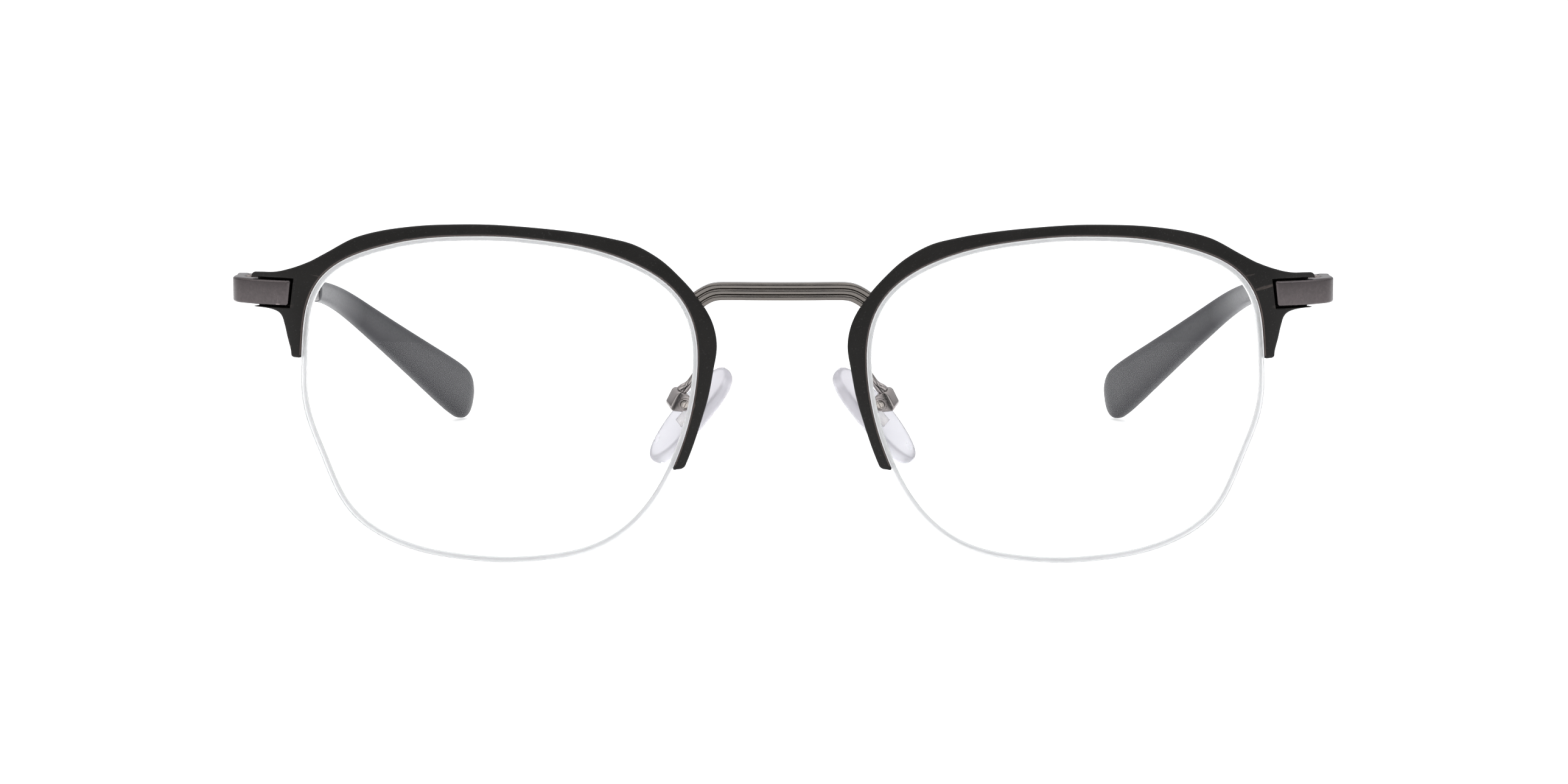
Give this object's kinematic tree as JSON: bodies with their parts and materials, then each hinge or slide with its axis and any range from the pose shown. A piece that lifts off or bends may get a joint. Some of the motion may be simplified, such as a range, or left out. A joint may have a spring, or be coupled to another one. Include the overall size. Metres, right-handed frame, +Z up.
{
  "type": "half rim eyeglasses",
  "caption": "Half rim eyeglasses with folding temples, a reeded metal bridge, clear lenses held by a nylon cord, and nose pads on wire arms.",
  "frame": {"origin": "middle of the footprint at table height, the glasses standing open on the lens bottoms and the temple tips", "axes": "+X to the wearer's left, +Y from the front towards the ears, +Z up"},
  "size_m": [0.1424, 0.1546, 0.0435],
  "materials": {
    "rim_black": "matte black",
    "gunmetal": "satin gunmetal",
    "bridge_gunmetal": "polished gunmetal",
    "screw_steel": "polished",
    "lens_clear": "clear polished",
    "nylon_clear": "translucent",
    "tip_plastic": "satin charcoal",
    "pad_silicone": "clear silicone"
  },
  "bodies": {
    "front": {"bridge": "bridge_gunmetal", "right_rim": "rim_black", "right_lens": "lens_clear", "right_rim_liner": "nylon_clear", "right_nylon_cord": "nylon_clear", "right_endpiece": "gunmetal", "right_hinge_front_leaf": "gunmetal", "right_hinge_screw": "screw_steel", "right_pad_arm": "gunmetal", "right_pad_screw": "screw_steel", "left_rim": "rim_black", "left_lens": "lens_clear", "left_rim_liner": "nylon_clear", "left_nylon_cord": "nylon_clear", "left_endpiece": "gunmetal", "left_hinge_front_leaf": "gunmetal", "left_hinge_screw": "screw_steel", "left_pad_arm": "gunmetal", "left_pad_screw": "screw_steel"},
    "right_temple_assembly": {"right_temple": "gunmetal", "right_temple_tip": "tip_plastic", "right_hinge_rear_leaf": "gunmetal"},
    "left_temple_assembly": {"left_temple": "gunmetal", "left_temple_tip": "tip_plastic", "left_hinge_rear_leaf": "gunmetal"},
    "right_pad_assembly": {"right_nose_pad": "pad_silicone", "right_pad_insert": "screw_steel"},
    "left_pad_assembly": {"left_nose_pad": "pad_silicone", "left_pad_insert": "screw_steel"}
  },
  "joints": [
    {"name": "right_temple_hinge", "type": "hinge", "parent": "front", "child": "right_temple_assembly", "pos_m": [-0.0678, -0.06187, 0.03441], "axis": [-0.0027, -0.1087, -0.9941], "range_deg": [0, 85.5]},
    {"name": "left_temple_hinge", "type": "hinge", "parent": "front", "child": "left_temple_assembly", "pos_m": [0.0678, -0.06187, 0.03441], "axis": [-0.0027, 0.1087, 0.9941], "range_deg": [0, 80.5]},
    {"name": "right_pad_tilt", "type": "hinge", "parent": "front", "child": "right_pad_assembly", "pos_m": [-0.01292, -0.07051, 0.02034], "axis": [-0.3116, 0.9135, 0.2614], "range_deg": [-8, 8]},
    {"name": "left_pad_tilt", "type": "hinge", "parent": "front", "child": "left_pad_assembly", "pos_m": [0.01292, -0.07051, 0.02034], "axis": [0.3116, 0.9135, 0.2614], "range_deg": [-8, 8]}
  ]
}
